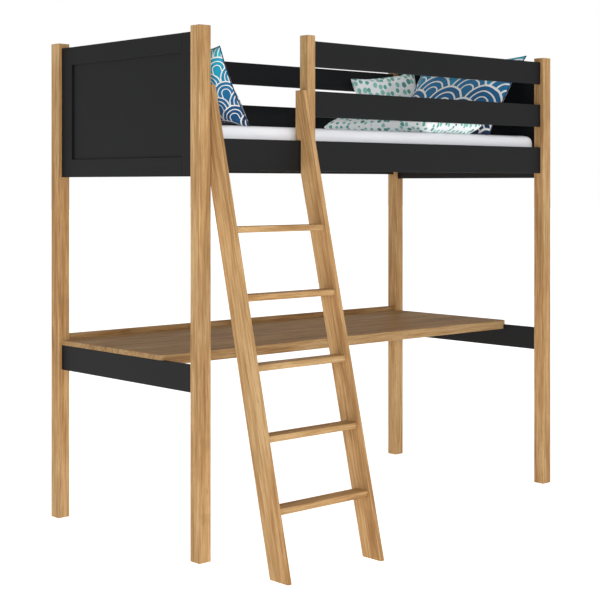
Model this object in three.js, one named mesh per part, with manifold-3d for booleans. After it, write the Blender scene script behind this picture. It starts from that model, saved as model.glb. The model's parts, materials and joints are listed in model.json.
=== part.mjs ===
// Loft bed with a full-length desk below: oak posts, ladder and desk, painted rails and end panels.
// Millimetres, +Z up. X runs along the bed from head to foot, Y from the ladder side to the rear.
// Origin: centre of the footprint (ladder feet included), on the floor.
import * as THREE from "three";
import { mergeVertices } from "three/addons/utils/BufferGeometryUtils.js";
import Module from "manifold-3d";

const wasm = await Module();
wasm.setup();

// Driving dimensions
const LENGTH = 2080; // outside of the posts, head to foot
const WIDTH = 1000; // outside of the posts, front to rear
const POST_HEIGHT = 1976;
const POST_SIDE = 55;
const LADDER_REACH = 420; // floor distance from the front of the bed to the ladder's toe

const BOARD = 20; // thickness of every rail, end panel and desk board
const GAP = 0.3; // clearance left where two pieces touch
const HOUSING = 12; // depth that a board's end enters a post
const EDGE_ROUND = 1.5; // rounding along board edges
const POST_ROUND = 3.5; // rounding along post edges

const TOP_REVEAL = 20; // post showing above the upper guard rails
const GUARD_HEIGHT = 102;
const GUARD_GAP = 95.5;
const SIDE_RAIL_HEIGHT = 120;
const PANEL_DROP = 22; // end panels hang this far below the side rails
const FRAME_WIDTH = 73; // stiles and rails of the end panels, as seen between the posts
const FIELD = 4; // thickness of the recessed field board
const GROOVE = 8; // depth of the groove that holds the field board

const ENTRY_WIDTH = 485; // ladder opening between the corner post and the guard post
const GUARD_POST_WIDTH = 41;
const GUARD_POST_DEPTH = 48;

const STRINGER_WIDTH = 92; // square to its length
const STRINGER_THICKNESS = 20;
const STRINGER_PLAY = 2.5; // between a stringer and the post beside it
const STRINGER_NOSE = 1; // the stringers' front edge at their top, behind the front of the posts
const TREAD_COUNT = 5;
const TREAD_DEPTH = 63;
const TREAD_THICKNESS = 23;
const TREAD_SETBACK = 8;
const TREAD_HOUSING = 6;
const FIRST_TREAD = 250; // top of the lowest tread above the floor
const TREAD_RISE = 246.5;

const DESK_TOP = 740;
const DESK_FRONT = 250; // front of the desk behind the front of the posts
const DESK_CORNER = 18; // plan radius of the desk's front corners
const DESK_LIP_DEPTH = 40;
const UPSTAND_ABOVE = 23;
const UPSTAND_BELOW = 40;
const DESK_RAIL_HEIGHT = 102;

const LEDGER_SIDE = 24;
const LEDGER_RISE = 15; // ledger's underside above the side rail's underside
const SLAT_COUNT = 12;
const SLAT_WIDTH = 90;
const SLAT_THICKNESS = 15;
const SLAT_END_PLAY = 1; // between a slat's end and the side rail

const MATTRESS_LENGTH_PLAY = 2.5; // between the mattress and each end panel
const MATTRESS_SIDE_PLAY = 12.5; // between the mattress and each side rail
const MATTRESS_THICKNESS = 120;
const MATTRESS_POST_PLAY = 2.8; // between the mattress's rounded corners and the posts
const MATTRESS_RIM = 22; // rounding along the mattress's upper and lower edges

// Derived heights and planes
const INSET = (POST_SIDE - BOARD) / 2; // boards sit in the middle of the posts
const INNER = INSET + BOARD; // inner face of the boards
const GUARD_TOP = POST_HEIGHT - TOP_REVEAL;
const UPPER_GUARD = GUARD_TOP - GUARD_HEIGHT;
const LOWER_GUARD = UPPER_GUARD - GUARD_GAP - GUARD_HEIGHT;
const SIDE_RAIL_TOP = LOWER_GUARD - GUARD_GAP;
const SIDE_RAIL = SIDE_RAIL_TOP - SIDE_RAIL_HEIGHT;
const PANEL_BOTTOM = SIDE_RAIL - PANEL_DROP;
const LADDER_TOP = LOWER_GUARD + GUARD_HEIGHT;
const SLAT_BOTTOM = SIDE_RAIL + LEDGER_RISE + LEDGER_SIDE;
const BASE_TOP = SLAT_BOTTOM + SLAT_THICKNESS;
const BED_TOP = BASE_TOP + MATTRESS_THICKNESS;
const GUARD_POST_X = POST_SIDE + ENTRY_WIDTH;
const DESK_BOTTOM = DESK_TOP - BOARD;
const SLOPE = (LADDER_REACH + STRINGER_NOSE) / LADDER_TOP; // ladder's run for each mm of rise
const STRINGER_DEPTH = STRINGER_WIDTH * Math.hypot(1, SLOPE); // measured level
const STRINGER_X = [
  POST_SIDE + STRINGER_PLAY,
  GUARD_POST_X - STRINGER_PLAY - STRINGER_THICKNESS,
];

const OAK = { color: 0xc49a66, roughness: 0.55, metalness: 0 };
const ANTHRACITE = { color: 0x2b2c2e, roughness: 0.45, metalness: 0 };
const PINE = { color: 0xd9b98a, roughness: 0.7, metalness: 0 };
const STEEL = { color: 0xa8a9ab, roughness: 0.35, metalness: 1 };
const WHITE_FABRIC = { color: 0xf1f1f4, roughness: 0.95, metalness: 0 };
const BLUE_FABRIC = { color: 0x1f6a96, roughness: 0.95, metalness: 0 };
const DOTTED_FABRIC = { color: 0xdfe9e8, roughness: 0.95, metalness: 0 };

const bed = new THREE.Group();

// Adds one named mesh; the geometry is already in its place.
function piece(name, geometry, finish) {
  const mesh = new THREE.Mesh(geometry, new THREE.MeshStandardMaterial(finish));
  mesh.name = name;
  bed.add(mesh);
}

const WELD = 1e-3; // vertices closer than this are one
const OVERCUT = 1; // how far a cutting block runs past the piece it cuts

function solidOf(geometry) {
  const bare = geometry.clone();
  bare.deleteAttribute("normal");
  bare.deleteAttribute("uv");
  const merged = mergeVertices(bare, WELD);
  return new wasm.Manifold(
    new wasm.Mesh({
      numProp: 3,
      vertProperties: merged.attributes.position.array,
      triVerts: new Uint32Array(merged.index.array),
    }),
  );
}

function geometryOf(solid) {
  const mesh = solid.getMesh();
  const geometry = new THREE.BufferGeometry();
  const vertices = new Float32Array(mesh.vertProperties);
  geometry.setAttribute("position", new THREE.BufferAttribute(vertices, 3));
  geometry.setIndex(new THREE.BufferAttribute(new Uint32Array(mesh.triVerts), 1));
  return geometry;
}

// Cuts every tool geometry out of a body.
function cut(body, tools) {
  let solid = solidOf(body);
  for (const tool of tools) solid = solid.subtract(solidOf(tool));
  return geometryOf(solid);
}

// A plain box between two corners.
function block(low, high) {
  const size = high.map((value, axis) => value - low[axis]);
  const centre = high.map((value, axis) => (value + low[axis]) / 2);
  return new THREE.BoxGeometry(...size).translate(...centre);
}

// The space a board's end needs in the piece that houses it.
function pocket(low, high) {
  return block(
    low.map((value) => value - GAP),
    high.map((value) => value + GAP),
  );
}

function roundedRectangle(x0, y0, x1, y1, radius) {
  const shape = new THREE.Shape();
  shape.moveTo(x0 + radius, y0);
  shape.lineTo(x1 - radius, y0);
  shape.absarc(x1 - radius, y0 + radius, radius, -Math.PI / 2, 0, false);
  shape.lineTo(x1, y1 - radius);
  shape.absarc(x1 - radius, y1 - radius, radius, 0, Math.PI / 2, false);
  shape.lineTo(x0 + radius, y1);
  shape.absarc(x0 + radius, y1 - radius, radius, Math.PI / 2, Math.PI, false);
  shape.lineTo(x0, y0 + radius);
  shape.absarc(x0 + radius, y0 + radius, radius, Math.PI, 1.5 * Math.PI, false);
  return shape;
}

// A shape drawn in plan, raised from z0 to z1, with its rims rounded by the rim radius.
function raise(shape, z0, z1, rim) {
  return new THREE.ExtrudeGeometry(shape, {
    depth: z1 - z0 - 2 * rim,
    curveSegments: 3,
    bevelEnabled: rim > 0,
    bevelThickness: rim,
    bevelSize: rim,
    bevelOffset: -rim,
    bevelSegments: 2,
  }).translate(0, 0, z0 + rim);
}

// An outline in Y and Z, as thick as x0 to x1.
function raiseAlongX(shape, x0, x1, rim) {
  const turn = new THREE.Matrix4().makeBasis(
    new THREE.Vector3(0, 1, 0),
    new THREE.Vector3(0, 0, 1),
    new THREE.Vector3(1, 0, 0),
  );
  return raise(shape, x0, x1, rim).applyMatrix4(turn);
}

// A board lying along X, Y or Z with rounded long edges, between two corners.
function board(axis, low, high) {
  const along = "XYZ".indexOf(axis);
  const [u, v] = [(along + 1) % 3, (along + 2) % 3];
  const section = roundedRectangle(low[u], low[v], high[u], high[v], EDGE_ROUND);
  const basis = [0, 1, 2].map((index) => new THREE.Vector3().setComponent(index, 1));
  const turn = new THREE.Matrix4().makeBasis(basis[u], basis[v], basis[along]);
  return raise(section, low[along], high[along], 0).applyMatrix4(turn);
}

const ROD_SIDES = 16;

// A round pin or hole along X or Y from a start point.
function rod(axis, start, length, radius) {
  const cylinder = new THREE.CylinderGeometry(radius, radius, length, ROD_SIDES);
  cylinder.translate(0, length / 2, 0);
  if (axis === "X") cylinder.rotateZ(-Math.PI / 2);
  return cylinder.translate(...start);
}

// Mirrors a distance from the head end to the foot end, or from the front to the rear.
const fromFoot = (distance) => LENGTH - distance;
const fromRear = (distance) => WIDTH - distance;

// Boards whose ends are housed in posts, as boxes: [axis, low corner, high corner].
const SEAT = POST_SIDE - HOUSING; // how far in from the outside a housed end reaches

function alongBed(y, z, height, start = SEAT) {
  return ["X", [start, y, z], [fromFoot(SEAT), y + BOARD, z + height]];
}

const GUARD_START = GUARD_POST_X + GUARD_POST_WIDTH - HOUSING;
const REAR = fromRear(INNER);
const LONG_BOARDS = {
  side_rail_front: alongBed(INSET, SIDE_RAIL, SIDE_RAIL_HEIGHT),
  side_rail_rear: alongBed(REAR, SIDE_RAIL, SIDE_RAIL_HEIGHT),
  guard_front_lower: alongBed(INSET, LOWER_GUARD, GUARD_HEIGHT, GUARD_START),
  guard_front_upper: alongBed(INSET, UPPER_GUARD, GUARD_HEIGHT, GUARD_START),
  guard_rear_lower: alongBed(REAR, LOWER_GUARD, GUARD_HEIGHT),
  guard_rear_upper: alongBed(REAR, UPPER_GUARD, GUARD_HEIGHT),
  desk_upstand: alongBed(REAR, DESK_TOP - UPSTAND_BELOW, UPSTAND_BELOW + UPSTAND_ABOVE),
};

// The inner and outer planes of the boards at each end of the bed.
const ENDS = {
  head: [INSET, INNER],
  foot: [fromFoot(INNER), fromFoot(INSET)],
};

// Boards that run from front to rear posts at one end: the panel as a whole, and the desk rail.
function endBoards(end) {
  const [x0, x1] = ENDS[end];
  const deskRail = DESK_BOTTOM - GAP - DESK_RAIL_HEIGHT;
  return {
    panel: ["Y", [x0, SEAT, PANEL_BOTTOM], [x1, fromRear(SEAT), GUARD_TOP]],
    deskRail: ["Y", [x0, SEAT, deskRail], [x1, fromRear(SEAT), DESK_BOTTOM - GAP]],
  };
}

const pocketOf = ([, low, high]) => pocket(low, high);

const BOLT_RADIUS = 3;
const BOLT_HEAD_RADIUS = 6;
const BOLT_HEAD = 4;
const BOLT_IN_POST = 18;
const BOLT_IN_RAIL = 42;
const RAIL_BOLT_HEIGHT = SIDE_RAIL + SIDE_RAIL_HEIGHT / 2;

// Each end of a side rail is held by one concealed bolt: [start of the bolt along X, centre Y].
function railBolt(end, side) {
  const x = end === "head" ? SEAT - BOLT_IN_POST : fromFoot(SEAT) - BOLT_IN_RAIL;
  const y = side === "front" ? (INSET + INNER) / 2 : fromRear((INSET + INNER) / 2);
  return [x, y, RAIL_BOLT_HEIGHT];
}

function railBoltHole(end, side) {
  const start = railBolt(end, side);
  start[0] -= GAP;
  const length = BOLT_IN_POST + BOLT_IN_RAIL + 2 * GAP;
  return rod("X", start, length, BOLT_RADIUS + GAP);
}

function cornerPost(end, side) {
  const x = end === "head" ? 0 : fromFoot(POST_SIDE);
  const y = side === "front" ? 0 : fromRear(POST_SIDE);
  const section = roundedRectangle(x, y, x + POST_SIDE, y + POST_SIDE, POST_ROUND);
  const { panel, deskRail } = endBoards(end);
  const cuts = [pocketOf(panel), pocketOf(deskRail), railBoltHole(end, side)];
  for (const [name, box] of Object.entries(LONG_BOARDS)) {
    const meets = name.includes(side) || (name === "desk_upstand" && side === "rear");
    if (meets) cuts.push(pocketOf(box));
  }
  const post = cut(raise(section, 0, POST_HEIGHT, EDGE_ROUND), cuts);
  piece(`post_${side}_${end}`, post, OAK);
}

// The guard post straddles the front side rail: its front cheek covers the rail, its rear cheek
// stops above the slats, and two bolts pass through cheeks and rail.
const CHEEK_LIFT = 5;
const CHEEK_FRONT = INSET - GAP;
const CHEEK_REAR = INNER + GAP;
const GUARD_BOLT_REACH = 12; // into the front cheek
const GUARD_BOLT_DROPS = { lower: 38, upper: 15 }; // below the top of the side rail
const guardBoltHeights = Object.entries(GUARD_BOLT_DROPS).map(([level, drop]) => [
  level,
  SIDE_RAIL_TOP - drop,
]);
const GUARD_BOLT_X = GUARD_POST_X + GUARD_POST_WIDTH / 2;

// A countersunk bolt that points to the front, its head flush with the plane at y.
function frontBolt(x, y, z, tip, play = 0) {
  const shank = rod("Y", [x, tip - play, z], y - tip + play, BOLT_RADIUS + play);
  const head = rod("Y", [x, y - BOLT_HEAD - play, z], BOLT_HEAD + play, BOLT_HEAD_RADIUS + play);
  return geometryOf(solidOf(shank).add(solidOf(head)));
}

function guardPost() {
  const right = GUARD_POST_X + GUARD_POST_WIDTH;
  const section = roundedRectangle(GUARD_POST_X, 0, right, GUARD_POST_DEPTH, POST_ROUND);
  const [x0, x1] = [GUARD_POST_X - OVERCUT, right + OVERCUT];
  const below = SIDE_RAIL - OVERCUT;
  const bridle = block([x0, CHEEK_FRONT, below], [x1, CHEEK_REAR, SIDE_RAIL_TOP + GAP]);
  const shortCheek = block(
    [x0, CHEEK_REAR - OVERCUT, below],
    [x1, GUARD_POST_DEPTH + OVERCUT, BASE_TOP + CHEEK_LIFT],
  );
  const cuts = [bridle, shortCheek];
  cuts.push(pocketOf(LONG_BOARDS.guard_front_lower), pocketOf(LONG_BOARDS.guard_front_upper));
  for (const [, z] of guardBoltHeights) {
    cuts.push(frontBolt(GUARD_BOLT_X, GUARD_POST_DEPTH + GAP, z, INSET - GUARD_BOLT_REACH, GAP));
  }
  piece("guard_post", cut(raise(section, SIDE_RAIL, POST_HEIGHT, EDGE_ROUND), cuts), OAK);
}

const LADDER_SCREW_REACH = 25; // into the stringer
const LADDER_SCREW_DROP = 45; // below the top of the side rail
const LADDER_SCREW_Z = SIDE_RAIL_TOP - LADDER_SCREW_DROP;
const stringerMiddle = (x) => x + STRINGER_THICKNESS / 2;

function longBoards() {
  for (const [name, [axis, low, high]] of Object.entries(LONG_BOARDS)) {
    let body = board(axis, low, high);
    if (name === "side_rail_front") {
      const holes = STRINGER_X.map((x) =>
        frontBolt(stringerMiddle(x), INNER + GAP, LADDER_SCREW_Z, INSET - LADDER_SCREW_REACH, GAP),
      );
      for (const [, z] of guardBoltHeights) {
        const length = BOARD + 2 * GAP;
        holes.push(rod("Y", [GUARD_BOLT_X, CHEEK_FRONT, z], length, BOLT_RADIUS + GAP));
      }
      body = cut(body, holes);
    }
    if (name.startsWith("side_rail")) {
      const side = name.endsWith("front") ? "front" : "rear";
      body = cut(body, [railBoltHole("head", side), railBoltHole("foot", side)]);
    }
    piece(name, body, name.startsWith("desk") ? OAK : ANTHRACITE);
  }
}

// An end panel: two stiles and two rails grooved on their inner edges round a thin field board.
// The rails end in tongues that fill the stiles' groove above and below the field.
const GROOVE_STOP = 10; // the groove ends this far from the panel's top and bottom edges

function endPanel(end) {
  const [x0, x1] = ENDS[end];
  const middle = (x0 + x1) / 2;
  const sight = POST_SIDE + FRAME_WIDTH; // inner edge of a stile
  const thin = FIELD / 2;
  const grooveLow = [middle - thin - GAP, sight - GROOVE, PANEL_BOTTOM + GROOVE_STOP];
  const grooveHigh = [middle + thin + GAP, fromRear(sight - GROOVE), GUARD_TOP - GROOVE_STOP];
  const groove = block(grooveLow, grooveHigh);

  const fieldBottom = PANEL_BOTTOM + FRAME_WIDTH - GROOVE + GAP;
  const fieldTop = GUARD_TOP - FRAME_WIDTH + GROOVE - GAP;
  const fieldLow = [middle - thin, sight - GROOVE + GAP, fieldBottom];
  const fieldHigh = [middle + thin, fromRear(sight - GROOVE + GAP), fieldTop];
  piece(`${end}_panel_field`, block(fieldLow, fieldHigh), ANTHRACITE);

  const stiles = {
    front: [SEAT, sight],
    rear: [fromRear(sight), fromRear(SEAT)],
  };
  for (const [side, [y0, y1]] of Object.entries(stiles)) {
    const stile = board("Z", [x0, y0, PANEL_BOTTOM], [x1, y1, GUARD_TOP]);
    piece(`${end}_panel_stile_${side}`, cut(stile, [groove]), ANTHRACITE);
  }

  const rails = {
    bottom: [PANEL_BOTTOM, PANEL_BOTTOM + FRAME_WIDTH, PANEL_BOTTOM + GROOVE_STOP + GAP, fieldBottom],
    top: [GUARD_TOP - FRAME_WIDTH, GUARD_TOP, fieldTop, GUARD_TOP - GROOVE_STOP - GAP],
  };
  for (const [level, [z0, z1, tongue0, tongue1]] of Object.entries(rails)) {
    const body = board("Y", [x0, sight + GAP, z0], [x1, fromRear(sight + GAP), z1]);
    const tongue = block([fieldLow[0], fieldLow[1], tongue0], [fieldHigh[0], fieldHigh[1], tongue1]);
    const joined = geometryOf(solidOf(body).add(solidOf(tongue)));
    piece(`${end}_panel_rail_${level}`, cut(joined, [pocket(fieldLow, fieldHigh)]), ANTHRACITE);
  }
}

// Ladder: each stringer leans on the bed and hooks over the front side rail with a square notch.
const ladderFront = (z) => SLOPE * z - LADDER_REACH;

function treadBox(index) {
  const top = FIRST_TREAD + index * TREAD_RISE;
  const front = ladderFront(top) + TREAD_SETBACK;
  const [left, right] = STRINGER_X;
  return {
    low: [left + STRINGER_THICKNESS - TREAD_HOUSING, front, top - TREAD_THICKNESS],
    high: [right + TREAD_HOUSING, front + TREAD_DEPTH, top],
  };
}

function stringer(name, x) {
  const face = INSET - GAP; // bears on the front of the side rail
  const backAtFace = (face + LADDER_REACH - STRINGER_DEPTH) / SLOPE;
  const outline = new THREE.Shape([
    new THREE.Vector2(STRINGER_DEPTH - LADDER_REACH, 0),
    new THREE.Vector2(face, backAtFace),
    new THREE.Vector2(face, SIDE_RAIL_TOP + GAP),
    new THREE.Vector2(GUARD_POST_DEPTH, SIDE_RAIL_TOP + GAP),
    new THREE.Vector2(GUARD_POST_DEPTH, LADDER_TOP),
    new THREE.Vector2(ladderFront(LADDER_TOP), LADDER_TOP),
    new THREE.Vector2(-LADDER_REACH, 0),
  ]);
  const body = raiseAlongX(outline, x, x + STRINGER_THICKNESS, EDGE_ROUND);
  const cuts = [];
  for (let index = 0; index < TREAD_COUNT; index += 1) {
    const { low, high } = treadBox(index);
    cuts.push(pocket(low, high));
  }
  const tip = INSET - LADDER_SCREW_REACH;
  cuts.push(rod("Y", [stringerMiddle(x), tip - GAP, LADDER_SCREW_Z], INNER - tip, BOLT_RADIUS + GAP));
  piece(name, cut(body, cuts), OAK);
}

function ladder() {
  stringer("ladder_stringer_left", STRINGER_X[0]);
  stringer("ladder_stringer_right", STRINGER_X[1]);
  for (let index = 0; index < TREAD_COUNT; index += 1) {
    const { low, high } = treadBox(index);
    piece(`ladder_tread_${index + 1}`, board("X", low, high), OAK);
  }
}

// Desk: the slab lies on the two desk rails and is notched round the rear posts; a lip thickens
// its front edge between the rails, and the upstand closes its rear edge.
function desk() {
  const left = INSET;
  const right = fromFoot(INSET);
  const rear = REAR - GAP;
  const postFace = fromRear(POST_SIDE) - GAP;
  const notch = POST_SIDE + GAP;
  const plan = new THREE.Shape();
  plan.moveTo(left, DESK_FRONT + DESK_CORNER);
  plan.absarc(left + DESK_CORNER, DESK_FRONT + DESK_CORNER, DESK_CORNER, Math.PI, 1.5 * Math.PI, false);
  plan.absarc(right - DESK_CORNER, DESK_FRONT + DESK_CORNER, DESK_CORNER, -Math.PI / 2, 0, false);
  plan.lineTo(right, postFace);
  plan.lineTo(fromFoot(notch), postFace);
  plan.lineTo(fromFoot(notch), rear);
  plan.lineTo(notch, rear);
  plan.lineTo(notch, postFace);
  plan.lineTo(left, postFace);
  const thick = raise(plan, DESK_BOTTOM - EDGE_ROUND, DESK_TOP, EDGE_ROUND);
  const underside = block([0, 0, DESK_BOTTOM - BOARD], [LENGTH, WIDTH, DESK_BOTTOM]);
  piece("desk_slab", cut(thick, [underside]), OAK);

  const lipLow = [INNER + GAP, DESK_FRONT, DESK_BOTTOM - BOARD];
  const lipHigh = [fromFoot(INNER + GAP), DESK_FRONT + DESK_LIP_DEPTH, DESK_BOTTOM + EDGE_ROUND];
  const above = block([0, 0, DESK_BOTTOM - GAP], [LENGTH, WIDTH, DESK_TOP]);
  piece("desk_lip", cut(board("X", lipLow, lipHigh), [above]), OAK);
}

// Bed base: a ledger along each side rail carries the slats, spaced evenly between the end panels.
function bedBase() {
  const ledgers = { front: INNER + GAP, rear: fromRear(INNER + GAP + LEDGER_SIDE) };
  const ends = [POST_SIDE + GAP, fromFoot(POST_SIDE + GAP)];
  const bottom = SIDE_RAIL + LEDGER_RISE;
  for (const [side, y] of Object.entries(ledgers)) {
    const high = [ends[1], y + LEDGER_SIDE, SLAT_BOTTOM - GAP];
    piece(`ledger_${side}`, board("X", [ends[0], y, bottom], high), PINE);
  }
  const free = LENGTH - 2 * INNER - SLAT_COUNT * SLAT_WIDTH;
  const pitch = SLAT_WIDTH + free / (SLAT_COUNT + 1);
  for (let index = 0; index < SLAT_COUNT; index += 1) {
    const x = INNER + (index + 1) * pitch - SLAT_WIDTH;
    const low = [x, INNER + SLAT_END_PLAY, SLAT_BOTTOM];
    const high = [x + SLAT_WIDTH, fromRear(INNER + SLAT_END_PLAY), BASE_TOP];
    piece(`slat_${String(index + 1).padStart(2, "0")}`, board("Y", low, high), PINE);
  }
}

function mattress() {
  const side = INNER + MATTRESS_SIDE_PLAY;
  const end = INNER + MATTRESS_LENGTH_PLAY;
  const [lengthwise, sideways] = [end, side].map((edge) => Math.max(POST_SIDE - edge, 0));
  const clear = lengthwise + sideways + Math.sqrt(2 * lengthwise * sideways);
  const corner = clear + MATTRESS_POST_PLAY; // misses the posts that reach into the corners
  const plan = roundedRectangle(end, side, fromFoot(end), fromRear(side), corner);
  piece("mattress", raise(plan, BASE_TOP + GAP, BED_TOP, MATTRESS_RIM), WHITE_FABRIC);
}

const DEGREE = Math.PI / 180;
const PADDING_CORNER = 30; // plan radius of a cushion's corners, beyond its rim
const PADDING_RIM_SHARE = 0.42; // how much of a cushion's thickness each rounded rim takes

// A cushion or pillow: an outline with drawn-in rims, leaned back by an angle towards a heading
// that is measured from +Y towards +X. A lean of a right angle lays it flat, and a roll raises its
// right side.
function padding({ width, height, thickness, lean, heading, roll }) {
  const rim = thickness * PADDING_RIM_SHARE;
  const outline = roundedRectangle(-width / 2, 0, width / 2, height, PADDING_CORNER + rim);
  return raise(outline, -thickness / 2, thickness / 2, rim)
    .rotateZ(roll * DEGREE)
    .rotateX(Math.PI / 2 - lean * DEGREE)
    .rotateZ(-heading * DEGREE);
}

// Moves a geometry so that the given sides of its bounding box lie on the given planes.
function settle(geometry, planes) {
  geometry.computeBoundingBox();
  const { min, max } = geometry.boundingBox;
  const shift = (low, high, a, b) => (low === undefined ? high - b : low - a);
  return geometry.translate(
    shift(planes.left, planes.right, min.x, max.x),
    shift(planes.front, planes.rear, min.y, max.y),
    planes.base - min.z,
  );
}

const BEDDING_PLAY = 2; // between bedding and the boards beside it
const INSIDE_WIDTH = WIDTH - 2 * INNER;
const REAR_PILLOW_ROOM = 285; // left beside the foot cushion for the pillow behind it
const FLAT_PILLOW_SPARE = 265; // inside width that the flat pillow doesn't take
const FOOT_CUSHION_WIDTH = INSIDE_WIDTH - REAR_PILLOW_ROOM;
const FLAT_PILLOW_WIDTH = INSIDE_WIDTH - FLAT_PILLOW_SPARE;
const HEAD_CUSHION = { width: 450, height: 358, thickness: 130, lean: 31, heading: -100, roll: 0 };
const FOOT_CUSHION = {
  width: FOOT_CUSHION_WIDTH, height: 472, thickness: 130, lean: 36.5, heading: 90, roll: 0,
};
const REAR_PILLOW = { width: 400, height: 335, thickness: 110, lean: 14, heading: 20, roll: 8 };
const FLAT_PILLOW = {
  width: FLAT_PILLOW_WIDTH, height: 380, thickness: 125, lean: 90, heading: 90, roll: 0,
};
const FOOT_CUSHION_SLIP = 25; // between the foot panel and the cushion that has slipped forward
const FLAT_PILLOW_FROM_FOOT = 415; // clear of the foot cushion that leans behind it

function bedding() {
  const left = INNER + BEDDING_PLAY;
  const right = fromFoot(left);
  const front = INNER + MATTRESS_SIDE_PLAY + BEDDING_PLAY;
  const rear = fromRear(left);
  const base = BED_TOP + GAP;
  piece("cushion_head", settle(padding(HEAD_CUSHION), { left, front, base }), BLUE_FABRIC);
  const slipped = right - FOOT_CUSHION_SLIP;
  piece("cushion_foot", settle(padding(FOOT_CUSHION), { right: slipped, front, base }), BLUE_FABRIC);
  piece("pillow_rear", settle(padding(REAR_PILLOW), { right, rear, base }), DOTTED_FABRIC);
  const beside = fromFoot(FLAT_PILLOW_FROM_FOOT);
  piece("pillow_flat", settle(padding(FLAT_PILLOW), { right: beside, front, base }), DOTTED_FABRIC);
}

function fasteners() {
  for (const end of Object.keys(ENDS)) {
    for (const side of ["front", "rear"]) {
      const length = BOLT_IN_POST + BOLT_IN_RAIL;
      const bolt = rod("X", railBolt(end, side), length, BOLT_RADIUS);
      piece(`side_rail_bolt_${side}_${end}`, bolt, STEEL);
    }
  }
  for (const [level, z] of guardBoltHeights) {
    const bolt = frontBolt(GUARD_BOLT_X, GUARD_POST_DEPTH, z, INSET - GUARD_BOLT_REACH);
    piece(`guard_post_bolt_${level}`, bolt, STEEL);
  }
  ["left", "right"].forEach((hand, index) => {
    const x = stringerMiddle(STRINGER_X[index]);
    const screw = frontBolt(x, INNER, LADDER_SCREW_Z, INSET - LADDER_SCREW_REACH);
    piece(`ladder_screw_${hand}`, screw, STEEL);
  });
}

for (const end of Object.keys(ENDS)) {
  cornerPost(end, "front");
  cornerPost(end, "rear");
  endPanel(end);
  const [axis, low, high] = endBoards(end).deskRail;
  piece(`desk_rail_${end}`, board(axis, low, high), ANTHRACITE);
}
guardPost();
longBoards();
ladder();
desk();
bedBase();
mattress();
bedding();
fasteners();

bed.position.set(-LENGTH / 2, (LADDER_REACH - WIDTH) / 2, 0);
const loftBed = new THREE.Group();
loftBed.add(bed);

export default loftBed;
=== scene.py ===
import json
import logging
import math
from collections.abc import Iterable
from dataclasses import dataclass
from enum import Enum

import bpy
import numpy as np
from mathutils import Matrix, Vector


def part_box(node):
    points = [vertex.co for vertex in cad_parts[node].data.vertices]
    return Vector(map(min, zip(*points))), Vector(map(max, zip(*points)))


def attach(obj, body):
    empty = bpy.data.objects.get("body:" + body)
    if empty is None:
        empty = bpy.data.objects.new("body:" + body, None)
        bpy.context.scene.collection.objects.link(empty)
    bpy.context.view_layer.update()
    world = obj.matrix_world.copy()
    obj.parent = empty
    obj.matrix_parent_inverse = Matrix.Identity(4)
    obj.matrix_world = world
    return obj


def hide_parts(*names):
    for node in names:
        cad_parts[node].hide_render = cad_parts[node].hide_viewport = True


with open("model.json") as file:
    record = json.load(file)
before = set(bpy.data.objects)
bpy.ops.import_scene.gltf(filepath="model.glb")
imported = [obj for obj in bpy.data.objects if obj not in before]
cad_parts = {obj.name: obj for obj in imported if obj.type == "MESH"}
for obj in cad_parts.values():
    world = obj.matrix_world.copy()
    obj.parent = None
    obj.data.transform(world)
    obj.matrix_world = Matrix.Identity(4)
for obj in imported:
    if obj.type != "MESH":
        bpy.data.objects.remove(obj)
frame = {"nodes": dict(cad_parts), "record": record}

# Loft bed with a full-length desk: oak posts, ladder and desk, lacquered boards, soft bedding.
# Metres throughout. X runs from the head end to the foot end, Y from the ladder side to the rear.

log = logging.getLogger("loft_bed")

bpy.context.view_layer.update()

Colour = tuple[float, float, float]
Triple = tuple[float, float, float]
Number = "Value | float"
Paint = "bpy.types.NodeSocket | Colour"


# ---------------------------------------------------------------- shader building

class Value:
    """A number in a shader; arithmetic on it adds Math nodes."""

    def __init__(self, tree: "Tree", socket: bpy.types.NodeSocket) -> None:
        """Wraps one socket.

        Args:
            tree: the tree that the socket belongs to.
            socket: an output that carries a number.
        """
        self.tree = tree
        self.socket = socket

    def maths(self, operation: str, *others: Number) -> "Value":
        """Adds one Math node.

        Args:
            operation: the Math node's operation.
            others: its second and third numbers, if it takes them.

        Returns:
            The node's result.
        """
        return self.tree.maths(operation, self, *others)

    def __add__(self, other: Number) -> "Value":
        """The sum."""
        return self.maths("ADD", other)

    def __sub__(self, other: Number) -> "Value":
        """The difference."""
        return self.maths("SUBTRACT", other)

    def __rsub__(self, other: Number) -> "Value":
        """The difference, with this value taken from the other."""
        return self.tree.maths("SUBTRACT", other, self)

    def __mul__(self, other: Number) -> "Value":
        """The product."""
        return self.maths("MULTIPLY", other)

    def __truediv__(self, other: Number) -> "Value":
        """The quotient."""
        return self.maths("DIVIDE", other)

    def __mod__(self, other: Number) -> "Value":
        """The remainder, never negative."""
        return self.maths("FLOORED_MODULO", other)

    __radd__ = __add__
    __rmul__ = __mul__

    def under(self, limit: Number) -> "Value":
        """1 where the value is below the limit, else 0."""
        return self.maths("LESS_THAN", limit)

    def spread(self, low: float, high: float) -> "Value":
        """0 at low, 1 at high, smooth between them and held outside them."""
        settings = {"interpolation_type": "SMOOTHSTEP"}
        inputs = {0: self, 1: low, 2: high}
        return Value(self.tree, self.tree.node("ShaderNodeMapRange", settings, inputs).outputs[0])


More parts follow.
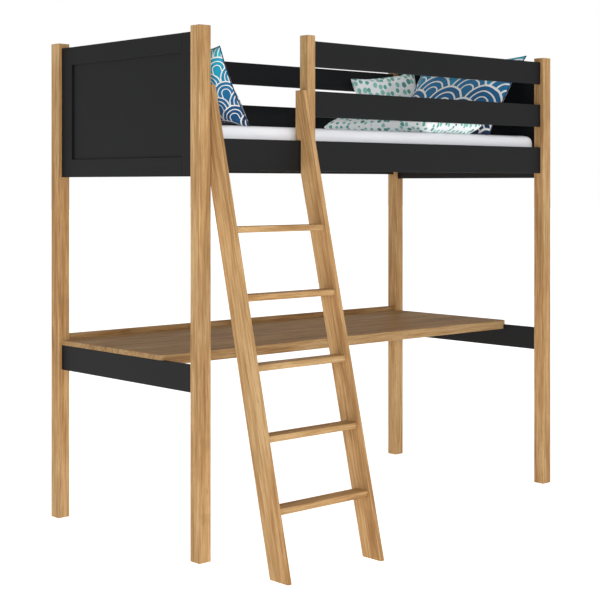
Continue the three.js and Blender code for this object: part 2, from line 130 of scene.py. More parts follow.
class Tree:
    """The node tree of one material, round a Principled shader."""

    def __init__(self, name: str, constants: dict[str, float]) -> None:
        """Starts a material.

        Args:
            name: the material's name.
            constants: values for the shader's sockets that are the same all over.
        """
        self.material = bpy.data.materials.new(name)
        self.material.use_nodes = True
        self.nodes = self.material.node_tree.nodes
        self.nodes.clear()
        self.shader = self.node("ShaderNodeBsdfPrincipled", {}, constants)
        self.node("ShaderNodeOutputMaterial", {}, {"Surface": self.shader.outputs[0]})

    def node(self, kind: str, settings: dict, inputs: dict) -> bpy.types.Node:
        """Adds a node.

        Args:
            kind: the node's type.
            settings: its properties; "stops" holds a ramp's positions and colours.
            inputs: values or links of its sockets, by name or number.

        Returns:
            The new node.
        """
        made = self.nodes.new(kind)
        for name, value in settings.items():
            if name == "stops":
                self._set_stops(made.color_ramp, value)
            else:
                setattr(made, name, value)
        for name, value in inputs.items():
            source = value.socket if isinstance(value, Value) else value
            if isinstance(source, bpy.types.NodeSocket):
                self.material.node_tree.links.new(source, made.inputs[name])
            else:
                made.inputs[name].default_value = source
        return made

    @staticmethod
    def _set_stops(ramp: bpy.types.ColorRamp, stops: list[tuple[float, Colour]]) -> None:
        """Gives a colour ramp its stops."""
        while len(ramp.elements) < len(stops):
            ramp.elements.new(0.5)
        for element, (place, colour) in zip(ramp.elements, stops):
            element.position = place
            element.color = (*colour, 1.0)

    def maths(self, operation: str, *numbers: Number) -> Value:
        """Adds a Math node on up to three numbers and returns its result."""
        made = self.node("ShaderNodeMath", {"operation": operation}, dict(enumerate(numbers)))
        return Value(self, made.outputs[0])

    def object_place(self, turn: Triple, shift: Triple) -> bpy.types.NodeSocket:
        """Object coordinates, turned by angles and shifted."""
        place = self.node("ShaderNodeTexCoord", {}, {}).outputs["Object"]
        inputs = {"Vector": place, "Rotation": turn, "Location": shift}
        return self.node("ShaderNodeMapping", {}, inputs).outputs[0]

    def cloth_place(self) -> tuple[bpy.types.NodeSocket, Value, Value]:
        """The piece's flat cloth coordinates, whole and as two numbers in metres."""
        place = self.node("ShaderNodeUVMap", {"uv_map": CLOTH_MAP}, {}).outputs[0]
        parts = self.node("ShaderNodeSeparateXYZ", {}, {0: place})
        return place, Value(self, parts.outputs[0]), Value(self, parts.outputs[1])

    def stretched(self, place: bpy.types.NodeSocket, factors: Triple) -> bpy.types.NodeSocket:
        """A vector multiplied axis by axis."""
        settings = {"operation": "MULTIPLY"}
        return self.node("ShaderNodeVectorMath", settings, {0: place, 1: factors}).outputs[0]

    def noise(self, place: bpy.types.NodeSocket, scale: float, detail: float = 2.0) -> Value:
        """Soft noise between 0 and 1, about a half on average."""
        inputs = {"Vector": place, "Scale": scale, "Detail": detail}
        return Value(self, self.node("ShaderNodeTexNoise", {}, inputs).outputs[0])

    def ramp(
        self, factor: Value, stops: list[tuple[float, Colour]], style: str = "LINEAR",
    ) -> bpy.types.NodeSocket:
        """Reads a colour off a ramp.

        Args:
            factor: where on the ramp to read, from 0 to 1.
            stops: the ramp's positions and colours.
            style: how the ramp runs between its stops.

        Returns:
            The colour.
        """
        made = self.node("ShaderNodeValToRGB", {"stops": stops}, {0: factor})
        made.color_ramp.interpolation = style
        return made.outputs[0]

    def mix(
        self, factor: Number, low: "Paint", high: "Paint", style: str = "MIX",
    ) -> bpy.types.NodeSocket:
        """Mixes two colours.

        Args:
            factor: 0 gives the low colour, 1 the high one.
            low: the first colour.
            high: the second colour.
            style: the way they are blended.

        Returns:
            The mixed colour.
        """
        low, high = [(*c, 1.0) if isinstance(c, tuple) else c for c in (low, high)]
        settings = {"data_type": "RGBA", "blend_type": style}
        return self.node("ShaderNodeMix", settings, {0: factor, 6: low, 7: high}).outputs[2]

    def bump(self, height: Value, distance: float, strength: float = 1.0) -> None:
        """Raises the surface by a height that is 0 to 1, over a distance in metres."""
        inputs = {"Height": height, "Distance": distance, "Strength": strength}
        made = self.node("ShaderNodeBump", {}, inputs)
        self.finish("Normal", made.outputs[0])

    def finish(self, socket: str, source: "Value | bpy.types.NodeSocket") -> None:
        """Links a colour or number to one of the shader's sockets."""
        plain = source.socket if isinstance(source, Value) else source
        self.material.node_tree.links.new(plain, self.shader.inputs[socket])


# ---------------------------------------------------------------- finishes

class Grain(Enum):
    """The way a board's grain runs, as the angles that turn it upright."""

    ALONG_BED = (0.0, -math.pi / 2, 0.0)
    ACROSS_BED = (math.pi / 2, 0.0, 0.0)
    UPRIGHT = (0.0, 0.0, 0.0)
    ALONG_LADDER = (None, 0.0, 0.0)

    def turn(self) -> Triple:
        """The angles, with the ladder's lean measured on its lowest and highest treads."""
        if self is not Grain.ALONG_LADDER:
            return self.value
        low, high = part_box("ladder_tread_1")[0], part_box("ladder_tread_5")[0]
        return (math.atan2(high.y - low.y, high.z - low.z), 0.0, 0.0)


@dataclass(frozen=True)
class Wood:
    """Planed wood with fine straight grain, open pores and a thin satin oil."""

    name: str
    grain: Grain
    dark: Colour
    middle: Colour
    pale: Colour
    pore: Colour
    shift: Triple = (0.0, 0.0, 0.0)
    roughness: float = 0.48

    def material(self) -> bpy.types.Material:
        """Builds the wood.

        Returns:
            The new material.
        """
        tree = Tree(self.name, {"Specular IOR Level": 0.06})
        place = tree.object_place(self.grain.turn(), self.shift)
        drift = tree.noise(tree.stretched(place, (1, 1, 0.08)), 16.0, 3.0)
        streaks = tree.noise(tree.stretched(place, (1, 1, 0.05)), 90.0, 3.0)
        lines = tree.noise(tree.stretched(place, (1, 1, 0.028)), 300.0, 2.0)
        fibre = tree.noise(tree.stretched(place, (1, 1, 0.02)), 1100.0, 1.0)
        tone = drift * 1.3 + streaks * 1.7 + lines * 1.3 + fibre * 0.5 - 1.9
        body = tree.ramp(tone, [(0.10, self.dark), (0.5, self.middle), (0.90, self.pale)])
        dashes = tree.noise(tree.stretched(place, (1, 1, 0.045)), 720.0, 1.0)
        pores = dashes.spread(0.60, 0.72) * streaks.spread(0.42, 0.62)
        warm = tree.noise(tree.stretched(place, (1, 1, 0.3)), 5.0, 1.0).spread(0.35, 0.7)
        tinted = tree.mix(warm * 0.35, body, (1.06, 0.93, 0.80), "MULTIPLY")
        tree.finish("Base Color", tree.mix(pores * 0.55, tinted, self.pore))
        tree.finish("Roughness", pores * 0.25 + lines * 0.12 + (self.roughness - 0.06))
        tree.bump(lines * 0.35 + fibre * 0.2 - pores, 0.00035)
        return tree.material


@dataclass(frozen=True)
class Lacquer:
    """Satin lacquer sprayed on board, with a faint orange peel."""

    name: str = "anthracite_lacquer"
    colour: Colour = (0.0060, 0.0062, 0.0070)
    worn: Colour = (0.0085, 0.0087, 0.0095)

    def material(self) -> bpy.types.Material:
        """Builds the lacquer.

        Returns:
            The new material.
        """
        tree = Tree(self.name, {"Specular IOR Level": 0.18})
        place = tree.object_place((0.0, 0.0, 0.0), (0.0, 0.0, 0.0))
        cloud = tree.noise(place, 3.5, 3.0)
        peel = tree.noise(place, 420.0, 1.0)
        speck = tree.noise(place, 1500.0, 1.0).spread(0.66, 0.74)
        tone = cloud * 0.7 + peel * 0.2 + speck * 0.35
        tree.finish("Base Color", tree.mix(tone, self.colour, self.worn))
        tree.finish("Roughness", cloud * 0.12 + peel * 0.06 + 0.42)
        tree.bump(peel, 0.00012)
        return tree.material


@dataclass(frozen=True)
class Zinc:
    """Zinc-plated steel with turning marks."""

    name: str = "zinc_plated_steel"
    colour: Colour = (0.60, 0.60, 0.62)

    def material(self) -> bpy.types.Material:
        """Builds the metal.

        Returns:
            The new material.
        """
        tree = Tree(self.name, {"Metallic": 1.0})
        place = tree.object_place((0.0, 0.0, 0.0), (0.0, 0.0, 0.0))
        mottle = tree.noise(place, 260.0, 3.0)
        marks = tree.noise(tree.stretched(place, (1, 0.1, 1)), 2400.0, 1.0)
        shade = tree.mix(mottle, self.colour, (0.72, 0.71, 0.68))
        tree.finish("Base Color", shade)
        tree.finish("Roughness", mottle * 0.2 + marks * 0.15 + 0.22)
        tree.bump(marks, 0.00003)
        return tree.material


CLOTH_MAP = "cloth"
WEAVE_PITCH = 0.0011
WEAVE_DEPTH = 0.00018


def weave(tree: Tree, u: Value, v: Value) -> Value:
    """The height of a plain weave: threads that pass over and under by turns.

    Args:
        tree: the material's node tree.
        u: metres across the cloth.
        v: metres up the cloth.

    Returns:
        A height from 0 to 1.
    """
    across = (u * (math.tau / WEAVE_PITCH)).maths("SINE")
    along = (v * (math.tau / WEAVE_PITCH)).maths("SINE")
    return across * along * 0.5 + 0.5


@dataclass(frozen=True)
class Linen:
    """Plain woven cotton in one colour, with slubs in its threads."""

    name: str
    colour: Colour
    slub: Colour

    def material(self) -> bpy.types.Material:
        """Builds the cloth.

        Returns:
            The new material.
        """
        constants = {"Specular IOR Level": 0.2, "Sheen Weight": 0.15, "Sheen Roughness": 0.6}
        tree = Tree(self.name, constants)
        place, u, v = tree.cloth_place()
        cloud = tree.noise(place, 7.0, 3.0)
        slubs = tree.noise(tree.stretched(place, (1, 0.06, 1)), 700.0, 1.0).spread(0.55, 0.75)
        tree.finish("Base Color", tree.mix(cloud * 0.35 + slubs * 0.5, self.colour, self.slub))
        tree.finish("Roughness", slubs * 0.08 + 0.86)
        tree.bump(weave(tree, u, v) + slubs * 0.5, WEAVE_DEPTH)
        return tree.material


@dataclass(frozen=True)
class WaveCloth:
    """Cotton printed with rows of scallops, each with pale arcs, from navy up to turquoise."""

    name: str
    radius: float
    height: float
    rise: float = 0.78
    arcs: tuple[tuple[float, float], ...] = ((0.95, 0.055), (0.64, 0.042), (0.34, 0.038))
    ground: Colour = (0.80, 0.79, 0.76)
    wobble: float = 0.006
    drop: float = 0.0

    def material(self) -> bpy.types.Material:
        """Builds the printed cloth.

        Returns:
            The new material.
        """
        constants = {"Specular IOR Level": 0.2, "Sheen Weight": 0.12, "Sheen Roughness": 0.6}
        tree = Tree(self.name, constants)
        place, u, v = tree.cloth_place()
        hand = tree.noise(place, 22.0, 2.0)
        reach, row = self._scallop(u + hand * self.wobble, v + self.drop + hand * self.wobble)
        lines: Value | None = None
        for radius, half_width in self.arcs:
            arc = 1.0 - (reach - radius).maths("ABSOLUTE").spread(half_width * 0.8, half_width)
            lines = arc if lines is None else lines.maths("MAXIMUM", arc)
        level = (row * (self.radius * self.rise) - self.drop) / self.height
        brush = tree.noise(tree.stretched(place, (1, 0.25, 1)), 330.0, 2.0)
        dye = tree.ramp(
            level + brush * 0.10 - 0.05,
            [(0.0, (0.004, 0.018, 0.075)), (0.22, (0.005, 0.078, 0.22)),
             (0.50, (0.007, 0.150, 0.33)), (0.76, (0.006, 0.31, 0.45)), (1.0, (0.01, 0.45, 0.52))],
        )
        washed = tree.mix(brush.spread(0.45, 0.8) * 0.2, dye, (0.06, 0.34, 0.50))
        tree.finish("Base Color", tree.mix(lines, washed, self.ground))
        tree.finish("Roughness", brush * 0.08 + 0.84)
        tree.bump(weave(tree, u, v) + brush * 0.3, WEAVE_DEPTH)
        return tree.material

    def _scallop(self, u: Value, v: Value) -> tuple[Value, Value]:
        """Finds the scallop in front at each point, a lower row lying over a higher one.

        Args:
            u: metres across the cloth.
            v: metres up the cloth.

        Returns:
            The distance from that scallop's centre, in radii, and its row.
        """
        lower = ((v - self.radius) / (self.radius * self.rise)).maths("CEIL")
        near = self._reach(u, v, lower)
        upper = lower + 1.0
        inside = near.under(1.0)
        outside = 1.0 - inside
        return inside * near + outside * self._reach(u, v, upper), inside * lower + outside * upper

    def _reach(self, u: Value, v: Value, row: Value) -> Value:
        """How far a point is from its scallop's centre in one row, in radii.

        Below the centre the arcs run straight down, so only the sideways distance counts.
        """
        start = (row % 2.0) * self.radius
        across = (u - start + self.radius) % (2 * self.radius) - self.radius
        up = (v - row * (self.radius * self.rise)).maths("MAXIMUM", 0.0)
        return (across * across + up * up).maths("SQRT") / self.radius


@dataclass(frozen=True)
class DottedCloth:
    """White cotton printed with loose dots in three tints of teal."""

    name: str = "dotted_pillow"
    pitch: float = 0.031
    oval: Triple = (1.0, 0.78, 1.0)
    rim: tuple[float, float] = (0.30, 0.33)
    ground: Colour = (0.92, 0.94, 0.95)
    tints: tuple[Colour, Colour, Colour] = ((0.06, 0.38, 0.32), (0.20, 0.56, 0.47), (0.03, 0.27, 0.24))

    def material(self) -> bpy.types.Material:
        """Builds the printed cloth.

        Returns:
            The new material.
        """
        constants = {"Specular IOR Level": 0.2, "Sheen Weight": 0.12, "Sheen Roughness": 0.6}
        tree = Tree(self.name, constants)
        place, u, v = tree.cloth_place()
        oval = tree.stretched(place, self.oval)
        inputs = {"Vector": oval, "Scale": 1 / self.pitch, "Randomness": 0.60}
        cells = tree.node("ShaderNodeTexVoronoi", {"voronoi_dimensions": "2D"}, inputs)
        chance = Value(tree, tree.node("ShaderNodeSeparateColor", {}, {0: cells.outputs[1]}).outputs[0])
        ragged = tree.noise(place, 160.0, 1.0) * 0.10
        edge = Value(tree, cells.outputs[0]) + ragged - chance * 0.10
        dots = 1.0 - edge.spread(*self.rim)
        first, second, third = self.tints
        dye = tree.ramp(chance, [(0.0, first), (0.35, second), (0.85, third)], "CONSTANT")
        tree.finish("Base Color", tree.mix(dots * 0.92, self.ground, dye))
        tree.finish("Roughness", dots * 0.05 + 0.86)
        tree.bump(weave(tree, u, v), WEAVE_DEPTH)
        return tree.material


OAK = {
    "dark": (0.295, 0.160, 0.064),
    "middle": (0.420, 0.254, 0.112),
    "pale": (0.540, 0.356, 0.176),
    "pore": (0.175, 0.086, 0.032),
}
# The desk's oak: the posts' oak made darker, painted shade standing in for the shade that falls under the
# bed.
DESK_OAK_PAINTED_SHADE = {
    "dark": (0.225, 0.124, 0.050),
    "middle": (0.325, 0.198, 0.088),
    "pale": (0.425, 0.280, 0.140),
    "pore": (0.140, 0.070, 0.026),
}
PINE = {
    "dark": (0.52, 0.36, 0.18),
    "middle": (0.64, 0.47, 0.26),
    "pale": (0.72, 0.56, 0.34),
    "pore": (0.46, 0.30, 0.15),
}
WOOD_SHADES = {"oak": OAK, "desk_oak": DESK_OAK_PAINTED_SHADE, "pine": PINE}


# ---------------------------------------------------------------- modelling helpers

def deselect() -> None:
    """Leaves object mode's selection empty."""
    bpy.ops.object.select_all(action="DESELECT")


def active() -> bpy.types.Object:
    """The object that the last operator made or worked on."""
    return bpy.context.view_layer.objects.active


def points_of(piece: bpy.types.Object) -> np.ndarray:
    """Reads a mesh's vertices.

    Args:
        piece: the mesh.

    Returns:
        One row of three numbers for each vertex.
    """
    flat = np.zeros(len(piece.data.vertices) * 3)
    piece.data.vertices.foreach_get("co", flat)
    return flat.reshape(-1, 3)


def set_points(piece: bpy.types.Object, points: np.ndarray) -> None:
    """Writes a mesh's vertices back."""
    piece.data.vertices.foreach_set("co", points.ravel())
    piece.data.update()


def apply_modifier(piece: bpy.types.Object, kind: str, **settings: object) -> None:
    """Adds a modifier to a piece and applies it.

    Args:
        piece: the mesh that takes it.
        kind: the modifier's type.
        settings: the modifier's properties.
    """
    deselect()
    piece.select_set(True)
    bpy.context.view_layer.objects.active = piece
    bpy.ops.object.modifier_add(type=kind)
    modifier = piece.modifiers[-1]
    for name, value in settings.items():
        setattr(modifier, name, value)
    bpy.ops.object.modifier_apply(modifier=modifier.name)


def inflate(piece: bpy.types.Object, pressure: float, frames: int, most: float) -> None:
    """Fills a closed skin by cloth simulation and keeps the result.

    Args:
        piece: the closed mesh, a little smaller than it should end up.
        pressure: the air pressure inside.
        frames: how many frames it swells for.
        most: the furthest that a point may move, in metres.
    """
    before = points_of(piece)
    deselect()
    piece.select_set(True)
    bpy.context.view_layer.objects.active = piece
    bpy.ops.object.modifier_add(type="CLOTH")
    cloth = piece.modifiers[-1]
    cloth.settings.quality = 5
    cloth.settings.use_pressure = True
    cloth.settings.uniform_pressure_force = pressure
    cloth.settings.effector_weights.gravity = 0.0
    cloth.settings.bending_stiffness = 0.4
    cloth.point_cache.frame_start = 1
    cloth.point_cache.frame_end = frames
    for number in range(1, frames + 1):
        bpy.context.scene.frame_set(number)
    bpy.ops.object.modifier_apply(modifier=cloth.name)
    bpy.context.scene.frame_set(1)
    moved = points_of(piece) - before
    length = np.linalg.norm(moved, axis=1, keepdims=True)
    set_points(piece, before + moved * np.minimum(1.0, most / np.maximum(length, 1e-9)))


def dress(piece: bpy.types.Object, material: bpy.types.Material) -> None:
    """Gives a piece one material in place of those it had."""
    piece.data.materials.clear()
    piece.data.materials.append(material)


# ---------------------------------------------------------------- the frame

@dataclass
class Structure:
    """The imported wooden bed: every board, post, slat and bolt keeps its shape and is finished."""

    def dress(self) -> None:
        """Finishes each rigid node by its material slot and the way its grain runs; the desk's oak is a
        darker copy of the posts' oak that paints in the shade under the bed.
        """
        made: dict[tuple[str, Grain | None], bpy.types.Material] = {}
        for part in frame["record"]["subparts"]:
            node, slot = part["node"], part["material_slot"]
            if slot in SOFT_SLOTS:
                continue
            grain = self._grain(node) if slot in WOOD_SHADES else None
            # Desk nodes take the darker copy of the oak, painted shade for the shadow under the bed.
            stain = "desk_oak" if slot == "oak" and node.startswith("desk") else slot
            if (stain, grain) not in made:
                made[(stain, grain)] = self._finish(stain, grain)
            dress(frame["nodes"][node], made[(stain, grain)])
            log.info("%s: %s", node, made[(stain, grain)].name)

    @staticmethod
    def _grain(node: str) -> Grain:
        """The grain runs along a board's longest side, or up the ladder's lean."""
        if node.startswith("ladder_stringer"):
            return Grain.ALONG_LADDER
        low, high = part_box(node)
        size = high - low
        longest = max(range(3), key=lambda axis: size[axis])
        return (Grain.ALONG_BED, Grain.ACROSS_BED, Grain.UPRIGHT)[longest]

    @staticmethod
    def _finish(stain: str, grain: Grain | None) -> bpy.types.Material:
        """Builds a finish.

        Args:
            stain: the lacquer, the steel or one of the wood shades.
            grain: the way the grain runs, where it is wood.

        Returns:
            The new material.
        """
        if stain == "anthracite_lacquer":
            return Lacquer().material()
        if stain == "steel":
            return Zinc().material()
        name = f"{stain}_{grain.name.lower()}"
        return Wood(name=name, grain=grain, **WOOD_SHADES[stain]).material()


SOFT_SLOTS = ("mattress", "wave_cushion", "dotted_pillow")


# ---------------------------------------------------------------- soft goods

@dataclass
class Cushion:
    """A stuffed square of cloth whose sides pull in between pointed corners."""

    node: str
    body: str
    width: float
    height: float
    thickness: float
    lean: float
    heading: float
    finish: WaveCloth | DottedCloth
    slot: str
    edging: Linen | None = None
    roll: float = 0.0
    aside: float = 0.0
    crown: float = 0.38
    fill: float = 0.7
    cell: float = 0.0095
    rim: float = 0.005
    sink: float = 0.004
    corner: float = 0.0
    waist: float = 0.03
    crown_share: float = 0.42
    side_play: float = 0.001
    top_play: float = 0.010
    cord_radius: float = 0.0024

    def build(self) -> None:
        """Makes the cushion, fills it, sets it in its place and adds its piping."""
        skin = self._skin()
        inflate(skin, pressure=5.0, frames=20, most=0.028)
        self._fit(skin)
        self._lay_cloth(skin)
        seam = self._seam(skin)
        apply_modifier(skin, "SUBSURF", levels=1, render_levels=1)
        turn, shift = self._placing(skin)
        self._settle(skin, turn, shift)
        deselect()
        skin.select_set(True)
        bpy.context.view_layer.objects.active = skin
        bpy.ops.object.shade_smooth()
        dress(skin, self.finish.material())
        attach(skin, self.body)
        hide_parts(self.node)
        if self.edging:
            self._piping(seam, turn, shift)
        log.info("%s: %d faces", skin.name, len(skin.data.polygons))

    def _skin(self) -> bpy.types.Object:
        """Two sheets of cloth sewn at their rim, laid flat and crowned a little."""
        across = round(self.width / self.cell)
        up = round(self.height / self.cell)
        deselect()
        bpy.ops.mesh.primitive_grid_add(x_subdivisions=across, y_subdivisions=up, size=1.0)
        skin = active()
        skin.name = f"{self.node}_cover"
        skin.data.name = skin.name
        set_points(skin, points_of(skin) * (self.width, self.height, 0.0))
        apply_modifier(skin, "SOLIDIFY", thickness=self.rim, offset=0.0, use_even_offset=True)
        points = points_of(skin)
        side = points[:, 0] / (self.width / 2)
        end = points[:, 1] / (self.height / 2)
        room = np.clip((1 - side ** 2) * (1 - end ** 2), 0.0, 1.0)
        points[:, 2] += np.sign(points[:, 2]) * room ** self.crown * (self.thickness * self.crown_share)
        set_points(skin, points)
        return skin

    def _fit(self, skin: bpy.types.Object) -> None:
        """Brings the filled skin back to the cushion's own size, with its lower edge at zero."""
        points = points_of(skin)
        low, high = points.min(axis=0), points.max(axis=0)
        wanted = np.array((self.width, self.height, self.thickness))
        points = (points - (low + high) / 2) * (wanted / (high - low))
        pull = np.clip(np.abs(points / (wanted / 2)), 0.0, 1.0)
        rounding = self.corner * (pull[:, 0] * pull[:, 1]) ** 4
        points[:, 0] *= 1 - self.waist * (1 - pull[:, 1] ** 2) * pull[:, 0] - rounding
        points[:, 1] *= 1 - self.waist * (1 - pull[:, 0] ** 2) * pull[:, 1] - rounding
        points[:, 1] += self.height / 2
        set_points(skin, points)

    def _sheets(self, skin: bpy.types.Object) -> np.ndarray:
        """The skin's points as two sheets of rows and columns."""
        across = round(self.width / self.cell) + 1
        up = round(self.height / self.cell) + 1
        return points_of(skin).reshape(2, up, across, 3)

    def _lay_cloth(self, skin: bpy.types.Object) -> None:
        """Measures the cloth along the filled surface, so that its print isn't stretched."""
        sheets = self._sheets(skin)
        places = []
        for axis in (2, 1):
            steps = np.linalg.norm(np.diff(sheets, axis=axis), axis=3)
            start = np.zeros_like(np.take(steps, [0], axis=axis))
            run = np.cumsum(np.concatenate((start, steps), axis=axis), axis=axis)
            places.append(run - np.take(run, [run.shape[axis] // 2], axis=axis))
        cloth = np.stack(places, axis=-1).reshape(-1, 2)
        cloth[:, 1] += self.height / 2
        corners = np.zeros(len(skin.data.loops), dtype=np.int64)
        skin.data.loops.foreach_get("vertex_index", corners)
        layer = skin.data.uv_layers[0]
        layer.name = CLOTH_MAP
        layer.uv.foreach_set("vector", cloth[corners].ravel())

    def _seam(self, skin: bpy.types.Object) -> np.ndarray:
        """The points of the seam, in order round the cushion."""
        grid = self._sheets(skin).mean(axis=0)
        return np.concatenate((grid[0, :-1], grid[:-1, -1], grid[-1, :0:-1], grid[:0:-1, 0]))

    def _placing(self, skin: bpy.types.Object) -> tuple[np.ndarray, np.ndarray]:
        """The turn and shift that put the cushion where its solid stands.

        Args:
            skin: the filled cushion, in its own flat frame.

        Returns:
            A rotation matrix and a shift.
        """
        lean = Matrix.Rotation(math.pi / 2 - math.radians(self.lean), 3, "X")
        heading = Matrix.Rotation(-math.radians(self.heading), 3, "Z")
        roll = Matrix.Rotation(math.radians(self.roll), 3, "Z")
        turn = np.array(heading @ lean @ roll)
        points = points_of(skin) @ turn.T
        low, high = (np.array(corner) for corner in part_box(self.node))
        shift = (low + high) / 2 - (points.min(axis=0) + points.max(axis=0)) / 2
        shift[0] += self.aside
        shift[2] = low[2] - points.min(axis=0)[2] - self.sink
        return turn, shift

    def _settle(self, skin: bpy.types.Object, turn: np.ndarray, shift: np.ndarray) -> None:
        """Places a mesh and flattens it where it rests on the mattress.

        Args:
            skin: the filled cushion, in its own flat frame.
            turn: its rotation matrix.
            shift: its shift.
        """
        points = points_of(skin) @ turn.T + shift
        set_points(skin, self._rested(points))

    def _rested(self, points: np.ndarray) -> np.ndarray:
        """Keeps points above the mattress and within the solid's upright sides.

        Args:
            points: one row for each point, in their final place.

        Returns:
            The points, moved in where they lay outside.
        """
        low, high = (np.array(corner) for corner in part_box(self.node))
        side = np.array((self.side_play, self.side_play, 0.0))
        above = np.array((self.side_play, self.side_play, self.top_play))
        return np.clip(points, low - side, high + above)

    def _piping(self, seam: np.ndarray, turn: np.ndarray, shift: np.ndarray) -> None:
        """Adds a corded edge that follows the seam.

        Args:
            seam: the seam's points in the cushion's own flat frame.
            turn: the cushion's rotation matrix.
            shift: the cushion's shift.
        """
        route = self._rested(seam @ turn.T + shift)
        curve = bpy.data.curves.new(f"{self.node}_piping", "CURVE")
        curve.dimensions = "3D"
        curve.bevel_depth = self.cord_radius
        curve.bevel_resolution = 2
        line = curve.splines.new("POLY")
        line.points.add(len(route) - 1)
        line.points.foreach_set("co", np.c_[route, np.ones(len(route))].ravel())
        line.use_cyclic_u = True
        piping = bpy.data.objects.new(curve.name, curve)
        bpy.context.scene.collection.objects.link(piping)
        deselect()
        piping.select_set(True)
        bpy.context.view_layer.objects.active = piping
        bpy.ops.object.convert(target="MESH")
        piping = active()
        bpy.ops.object.shade_smooth()
        piping.data.uv_layers.new(name=CLOTH_MAP)
        dress(piping, self.edging.material())
        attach(piping, self.body)
        log.info("%s: %d faces", piping.name, len(piping.data.polygons))


@dataclass
class Mattress:
    """A foam mattress in a fitted white cover, crowned and softened at its edges."""

    node: str = "mattress"
    corner: float = 0.020
    edge: float = 0.020
    voxel: float = 0.014
    inset: float = 0.003

    def build(self) -> None:
        """Models the block, fills it, smooths it and dresses it."""
        low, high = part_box(self.node)
        size = high - low
        deselect()
        bpy.ops.mesh.primitive_cube_add(size=1.0)
        block = active()
        block.name = "mattress_cover"
        block.data.name = block.name
        margin = Vector((self.inset, self.inset, self.inset))
        set_points(block, points_of(block) * np.array(size - 2 * margin))
        self._round_edges(block, upright=True, width=self.corner, steps=8)
        self._round_edges(block, upright=False, width=self.edge, steps=4)
        apply_modifier(block, "REMESH", mode="VOXEL", voxel_size=self.voxel)
        inflate(block, pressure=3.0, frames=14, most=0.007)
        apply_modifier(block, "SUBSURF", levels=1, render_levels=1)
        middle = np.array((low + high) / 2)
        points = np.clip(points_of(block) + middle, np.array(low), np.array(high))
        set_points(block, points)
        deselect()
        block.select_set(True)
        bpy.context.view_layer.objects.active = block
        bpy.ops.object.shade_smooth()
        self._lay_cloth(block)
        dress(block, Linen("mattress_cover", (0.87, 0.88, 0.92), (0.92, 0.92, 0.94)).material())
        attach(block, "mattress")
        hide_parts(self.node)
        log.info("%s: %d faces", block.name, len(block.data.polygons))

    @staticmethod
    def _round_edges(block: bpy.types.Object, upright: bool, width: float, steps: int) -> None:
        """Rounds a block's upright edges, or all those of its top and bottom faces.

        Args:
            block: the block, centred on the origin.
            upright: whether the upright edges are rounded, and not the level ones.
            width: how much of each face the rounding takes.
            steps: how many faces each rounding has.
        """
        top = max(vertex.co.z for vertex in block.data.vertices)
        bpy.ops.object.mode_set(mode="EDIT")
        bpy.ops.mesh.select_all(action="DESELECT")
        bpy.ops.object.mode_set(mode="OBJECT")
        for edge in block.data.edges:
            heights = [block.data.vertices[index].co.z for index in edge.vertices]
            stands = abs(heights[0] - heights[1]) > top
            level = abs(abs(heights[0]) - top) < 1e-5 and not stands
            edge.select = stands if upright else level
        bpy.ops.object.mode_set(mode="EDIT")
        bpy.ops.mesh.select_mode(type="EDGE")
        bpy.ops.mesh.bevel(offset=width, offset_type="OFFSET", segments=steps)
        bpy.ops.object.mode_set(mode="OBJECT")

    @staticmethod
    def _lay_cloth(block: bpy.types.Object) -> None:
        """Lays the cover's cloth on each face from the side that it faces most."""
        layer = block.data.uv_layers.new(name=CLOTH_MAP)
        for face in block.data.polygons:
            drop = max(range(3), key=lambda axis: abs(face.normal[axis]))
            u, v = [axis for axis in range(3) if axis != drop]
            for loop in face.loop_indices:
                point = block.data.vertices[block.data.loops[loop].vertex_index].co
                layer.uv[loop].vector = (point[u], point[v])


# ---------------------------------------------------------------- studio

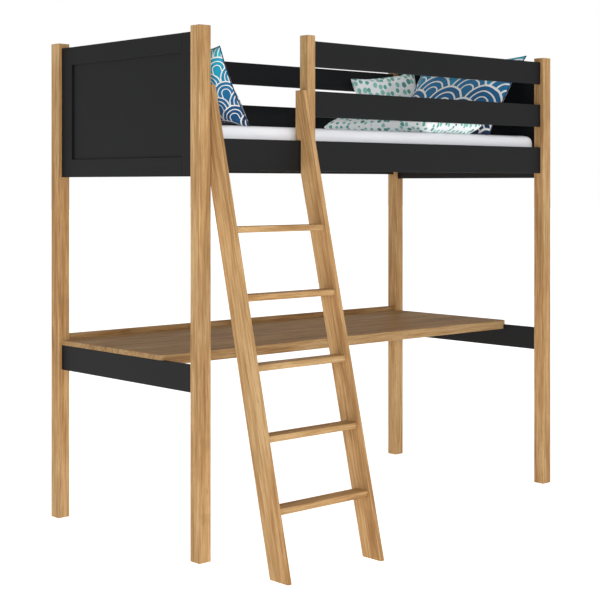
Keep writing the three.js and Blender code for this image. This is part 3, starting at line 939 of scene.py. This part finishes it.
@dataclass
class Studio:
    """A pale floor, three small soft lamps and the camera."""

    eye: Triple = (-4.2037, -4.3050, 1.3924)
    heading: float = 42.367
    lens: float = 83.64
    shift_up: float = -0.1939
    floor_side: float = 120.0
    lamp_side: float = 0.12
    glow_level: float = 0.46
    glow_above: float = 0.50

    def build(self) -> None:
        """Sets up the camera, the floor, the lights and the surrounding light."""
        self._camera()
        self._floor()
        self._lamp("lamp_at_the_head_end", Vector((-3.5, -1.3, 1.25)), Vector((1.0, 0.2, 0.0)), 12.0)
        self._lamp("lamp_at_the_front", Vector((0.2, -5.0, 1.30)), Vector((0.0, 1.0, 0.0)), 40.0)
        self._lamp("lamp_beside_the_camera", Vector((-4.0, -4.1, 1.50)), Vector((1.0, 1.1, 0.0)), 80.0)
        self._surroundings()
        bpy.context.scene.view_settings.view_transform = "Standard"

    def _camera(self) -> None:
        """Adds the level camera."""
        data = bpy.data.cameras.new("camera")
        data.lens = self.lens
        data.shift_y = self.shift_up
        data.clip_end = 200.0
        camera = bpy.data.objects.new("camera", data)
        camera.location = self.eye
        camera.rotation_euler = (math.pi / 2, 0.0, -math.radians(self.heading))
        bpy.context.scene.collection.objects.link(camera)
        bpy.context.scene.camera = camera

    def _floor(self) -> None:
        """Adds the floor that the posts stand on."""
        deselect()
        bpy.ops.mesh.primitive_plane_add(size=self.floor_side)
        floor = active()
        floor.name = "floor"
        constants = {"Base Color": (0.80, 0.80, 0.80, 1.0), "Roughness": 0.9,
                     "Specular IOR Level": 0.1, "Emission Color": (1.0, 1.0, 1.0, 1.0),
                     "Emission Strength": 0.80}
        dress(floor, Tree("floor_paint", constants).material)

    def _lamp(self, name: str, place: Vector, towards: Vector, power: float) -> None:
        """Adds a small soft lamp.

        Args:
            name: the lamp's name.
            place: where it stands.
            towards: the way it faces.
            power: its strength in watts.
        """
        data = bpy.data.lights.new(name, "AREA")
        data.energy = power
        data.size = self.lamp_side
        lamp = bpy.data.objects.new(name, data)
        lamp.location = place
        lamp.rotation_mode = "QUATERNION"
        lamp.rotation_quaternion = towards.to_track_quat("-Z", "Y")
        bpy.context.scene.collection.objects.link(lamp)

    def _surroundings(self) -> None:
        """White to look at, and a softer light that is a little stronger from above."""
        world = bpy.data.worlds.new("studio")
        world.use_nodes = True
        nodes, links = world.node_tree.nodes, world.node_tree.links
        nodes.clear()
        place = nodes.new("ShaderNodeTexCoord")
        parts = nodes.new("ShaderNodeSeparateXYZ")
        links.new(place.outputs["Generated"], parts.inputs[0])
        level = nodes.new("ShaderNodeMapRange")
        level.inputs["To Min"].default_value = self.glow_level
        level.inputs["To Max"].default_value = self.glow_above
        links.new(parts.outputs["Z"], level.inputs["Value"])
        soft = nodes.new("ShaderNodeBackground")
        links.new(level.outputs[0], soft.inputs["Strength"])
        white = nodes.new("ShaderNodeBackground")
        for background in (soft, white):
            background.inputs["Color"].default_value = (1.0, 1.0, 1.0, 1.0)
        path = nodes.new("ShaderNodeLightPath")
        mix = nodes.new("ShaderNodeMixShader")
        links.new(path.outputs["Is Camera Ray"], mix.inputs[0])
        links.new(soft.outputs[0], mix.inputs[1])
        links.new(white.outputs[0], mix.inputs[2])
        output = nodes.new("ShaderNodeOutputWorld")
        links.new(mix.outputs[0], output.inputs["Surface"])
        bpy.context.scene.world = world


# ---------------------------------------------------------------- assembly

def bedding() -> Iterable[Cushion]:
    """The four loose cushions and pillows, with the sizes and leans of their solids."""
    navy = Linen("navy_piping", (0.010, 0.020, 0.060), (0.022, 0.038, 0.090))
    yield Cushion(
        node="cushion_head", body="head_cushion", width=0.450, height=0.352, thickness=0.114, aside=-0.005,
        lean=31, heading=-100, slot="wave_cushion", edging=navy,
        finish=WaveCloth("wave_cloth_small", radius=0.050, height=0.358, rise=1.04, drop=0.045),
    )
    yield Cushion(
        node="cushion_foot", body="foot_cushion", width=0.628, height=0.460, thickness=0.126, aside=-0.006,
        lean=35.5, heading=90, slot="wave_cushion", edging=navy,
        finish=WaveCloth("wave_cloth_large", radius=0.112, height=0.472, rise=0.66),
    )
    yield Cushion(
        node="pillow_rear", body="rear_pillow", width=0.378, height=0.335, thickness=0.110, aside=0.022,
        lean=14, heading=20, roll=8, slot="dotted_pillow", corner=0.05,
        finish=DottedCloth("dotted_cloth_small", rim=(0.33, 0.36)),
    )
    yield Cushion(
        node="pillow_flat", body="flat_pillow", width=0.660, height=0.380, thickness=0.125,
        lean=90, heading=90, slot="dotted_pillow", sink=0.024, corner=0.02, waist=0.0, crown=0.24,
        finish=DottedCloth("dotted_cloth_large", oval=(0.85, 1.25, 1.0), rim=(0.28, 0.31)),
    )


def main() -> None:
    """Builds the studio and the bed."""
    logging.basicConfig(level=logging.INFO, format="%(message)s")
    Studio().build()
    Structure().dress()
    Mattress().build()
    for cushion in bedding():
        cushion.build()


if __name__ == "__main__":
    main()
